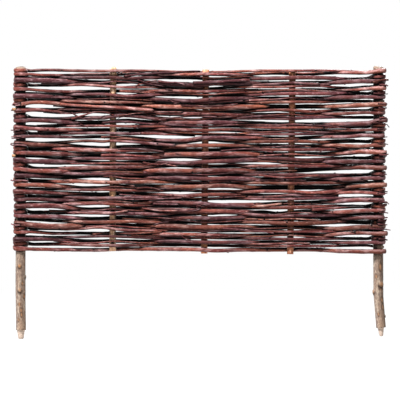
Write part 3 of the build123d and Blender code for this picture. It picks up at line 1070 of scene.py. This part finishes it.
def barkRelief(s, turned, height, seed):
    # how far the bark stands out, where it is tan, and where it is dark: the scars' rims, and
    # painted shade under the knots
    look = stakeLook
    rng = np.random.default_rng(seed)
    r = np.zeros(len(height))
    for i in range(look["bumps"]):
        n = rng.integers(1, 6)
        r += look["bumpHigh"] * rng.normal() * np.sin(
            n * turned + height / rng.uniform(*look["bumpLong"]) + rng.uniform(0, 6.3))
    pale, dark = np.zeros(len(height)), np.zeros(len(height))

    def arcTo(angle):
        away = np.mod(turned - math.radians(angle) + math.pi, 2 * math.pi) - math.pi
        return look["arcR"] * away

    for z, angle, size, high, orange in s["knots"]:
        du, dv = arcTo(angle), height - z
        d = np.sqrt(du ** 2 + (dv * 0.9) ** 2) / size
        r += high * np.exp(-d ** 4) - look["ringDeep"] * np.exp(-((d - 1.5) / 0.3) ** 2)
        pale = np.maximum(pale, np.exp(-(d / 0.85) ** 4) * orange)
        # painted shade: the dark ring round a knot is strongest on its lower side and gone above it
        under = np.clip(0.55 - dv / size, 0, 1)
        dark = np.maximum(dark, np.exp(-((d - 1.0) / 0.45) ** 2) * under)
    for z, angle, wide, tall in s["scars"]:
        d = np.sqrt((arcTo(angle) / wide) ** 2 + ((height - z) / tall) ** 2)
        r -= look["scarDeep"] * np.exp(-d ** 4)
        pale = np.maximum(pale, np.exp(-d ** 4) * look["scarPale"])
        dark = np.maximum(dark, np.exp(-((d - 1.1) / 0.35) ** 2) * look["scarDark"])
    return r, pale, dark, rng


def stakePart(face, bare):
    # 0 bark, 1 cut wood on the top and at the bark's edge, 2 the peeled point
    z = face.center.z / mm
    if len(face.vertices) > 4:
        return 1 if z > 100 else 2
    if z < bare - 0.2:
        return 2
    return 1 if z < bare + 0.2 else 0


def finishPost(obj, node, materials):
    woven.append(obj)
    obj.data.update()
    obj.data.materials.clear()
    for material in materials:
        obj.data.materials.append(material)
    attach(obj, "root")
    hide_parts(node)


def makeStake(name, s, node, seed):
    look = stakeLook
    line, radii = stakeLine(s)
    obj = drawTube(name, line * mm, radii * mm, look["sides"], "MINIMUM")
    co, at, across, up, tangent, (a, b, c) = readPlaces(obj, line * mm, (0, 1, 0))
    co, a, b = co / mm, a / mm, b / mm
    centre = line[at]
    turned = np.arctan2(co[:, 0] - centre[:, 0], centre[:, 1] - co[:, 1])  # 0 faces the front
    height = centre[:, 2]
    r, pale, dark, rng = barkRelief(s, turned, height, seed)
    r *= (np.linalg.norm(np.c_[a, b], axis=1) > look["innerR"]) & (height > look["barkFrom"])
    out = a[:, None] * across + b[:, None] * up
    co += out / np.maximum(np.linalg.norm(out, axis=1), 1e-6)[:, None] * r[:, None]
    # the slanted, torn top
    slope = weaveTop + look["topRise"] + co[:, 1] * math.tan(math.radians(look["topSlant"]))
    slope += rng.uniform(-s["ragged"], s["ragged"], len(co))
    below = np.minimum(co[:, 2], slope - look["topEdge"])
    co[:, 2] = np.where(at == len(line) - 1, slope, below)
    obj.data.vertices.foreach_set("co", (co * mm).ravel())
    # painted shade: the tone falls towards the stake's right side and rises towards its left, as
    # light from the left would leave it
    tone = 0.5 + look["toneWave"] * np.sin(height / 31 + 1.1) - look["toneSide"] * np.sin(turned)
    keepMarks(obj, barkPlace=np.c_[height, a, b] * mm, tone=tone, knuckle=np.zeros(len(co)),
              knotPale=pale, knotDark=np.clip(dark, 0, 1))
    finishPost(obj, node, (stakeBark, cutWood, peeledWood))
    bare = s["foot"][2] + look["barkEnd"] + 0.05
    for face in obj.data.polygons:
        face.use_smooth = len(face.vertices) <= 4
        face.material_index = stakePart(face, bare)


makeStake("leftStake", stakes["left"], "end_stake_left", 3)
makeStake("rightStake", stakes["right"], "end_stake_right", 4)

uprightLook = {"sides": 20, "pace": 5.0, "wave": 0.02, "bulge": 0.03, "bulgeShare": 0.05,
               "tones": (0.75, 0.62, 0.42)}


def makeUpright(k, node, bark):
    low = weave["legHeight"] - weave["uprightBelow"][k - 1]
    high = weaveTop + weave["uprightAbove"][k - 1]
    heights = np.linspace(low, high, int((high - low) / uprightLook["pace"]))
    line = np.array([(postX(k, z), 0.0, z) for z in heights])
    rng = np.random.default_rng(60 + k)
    bulges = uprightLook["bulge"] * (rng.random(len(heights)) < uprightLook["bulgeShare"])
    radii = weave["uprightR"] * (1 + uprightLook["wave"] * np.sin(heights / 17 + k) + bulges)
    obj = drawTube(f"shortUpright_{k}", line * mm, radii * mm, uprightLook["sides"], "MINIMUM")
    co, at, across, up, tangent, (a, b, c) = readPlaces(obj, line * mm, (0, 1, 0))
    keepMarks(obj, barkPlace=np.c_[co[:, 2] + 0.7 * k, a, b],
              tone=np.full(len(co), uprightLook["tones"][k - 1]), knuckle=np.zeros(len(co)))
    finishPost(obj, node, (bark, cutWood))
    paintEnds(obj)


makeUpright(1, "upright_left", barks["upright_left"])
makeUpright(2, "upright_middle", barks["uprights"])
makeUpright(3, "upright_right", barks["uprights"])
print("stakes and uprights shaped")
# painted shade for all the woven pieces, stakes and uprights, from their neighbours
bakeCover(woven)
print("hidden sides found")

studio = {
    "floorSide": 40.0, "floorDrop": 0.0005, "floorGrey": (0.41, 0.43), "floorLift": 0.70,
    "glow": {"From Min": 0.5, "From Max": 1.6, "To Min": 0.75, "To Max": 1.0},  # by distance
    "sky": {"To Min": 0.03, "To Max": 1.0},  # on the object, and as seen
}
lamps = {  # place, target, size, power
    "keyLamp": ((-0.9, -1.5, 2.7), (0, 0, 0.25), 0.6, 218.0),
    "backLamp": ((0.9, 2.6, 1.9), (0, 0, 0.25), 1.0, 90.0),
    "fillLamp": ((0.6, -2.6, 0.7), (0, 0, 0.2), 1.2, 4.0),
}
photoView = {"place": (0.0008, -3.0, 0.2221), "sensor": 36.0, "lens": 168.75, "far": 100.0}


def seenByCamera(tree):
    # camera, mirror and see-through rays
    path = tree.nodes.new("ShaderNodeLightPath").outputs
    direct = reckon(tree, "MAXIMUM", path["Is Camera Ray"], path["Is Glossy Ray"])
    return reckon(tree, "MAXIMUM", direct, path["Is Transmission Ray"])


def floorMaterial():
    # pale floor; the camera sees it near white, with the shadow left in it
    material, tree, shader = newMaterial("floorPaint")
    place = addNode(tree, "ShaderNodeTexCoord").outputs["Object"]
    grain = noise(tree, place, (1, 1, 1), 2.0, scale=60.0)
    dark, pale = ((grey, grey, grey, 1) for grey in studio["floorGrey"])
    tree.links.new(blend(tree, grain, dark, pale), shader.inputs["Base Color"])
    shader.inputs["Roughness"].default_value = 0.9
    seen = seenByCamera(tree)
    white = addNode(tree, "ShaderNodeEmission", {"Strength": 1.0})
    lifted = addNode(tree, "ShaderNodeEmission")
    lift = reckon(tree, "MULTIPLY", seen, studio["floorLift"])
    tree.links.new(lift, lifted.inputs["Strength"])
    both = tree.nodes.new("ShaderNodeAddShader")
    tree.links.new(shader.outputs[0], both.inputs[0])
    tree.links.new(lifted.outputs[0], both.inputs[1])
    away = addNode(tree, "ShaderNodeVectorMath", operation="LENGTH")
    tree.links.new(place, away.inputs[0])
    fade = rescale(tree, away.outputs["Value"], studio["glow"])
    mix = tree.nodes.new("ShaderNodeMixShader")
    tree.links.new(reckon(tree, "MULTIPLY", fade, seen), mix.inputs[0])
    tree.links.new(both.outputs[0], mix.inputs[1])
    tree.links.new(white.outputs[0], mix.inputs[2])
    tree.links.new(mix.outputs[0], tree.nodes["Material Output"].inputs["Surface"])
    return material


bpy.ops.object.select_all(action="DESELECT")
bpy.ops.mesh.primitive_plane_add(size=studio["floorSide"], location=(0, 0, -studio["floorDrop"]))
floor = bpy.context.object
floor.name = "studioFloor"
floor.data.materials.append(floorMaterial())

world = bpy.data.worlds.new("studioSky")
bpy.context.scene.world = world
world.use_nodes = True
sky = world.node_tree
background = sky.nodes["Background"]
background.inputs["Color"].default_value = (1, 1, 1, 1)
sky.links.new(rescale(sky, seenByCamera(sky), studio["sky"]), background.inputs["Strength"])


def addLamp(name, place, target, size, power):
    bpy.ops.object.light_add(type="AREA", location=place)
    lamp = bpy.context.object
    lamp.name = name
    lamp.data.size = size
    lamp.data.energy = power
    aim = Vector(target) - Vector(place)
    lamp.rotation_euler = aim.to_track_quat("-Z", "Y").to_euler()


for name, values in lamps.items():
    addLamp(name, *values)

bpy.ops.object.camera_add(location=photoView["place"], rotation=(math.radians(90), 0, 0))
camera = bpy.context.object
camera.name = "photoCamera"
camera.data.sensor_width = photoView["sensor"]
camera.data.lens = photoView["lens"]
camera.data.clip_end = photoView["far"]
bpy.context.scene.camera = camera
bpy.context.scene.view_settings.view_transform = "Standard"
print("studio ready")
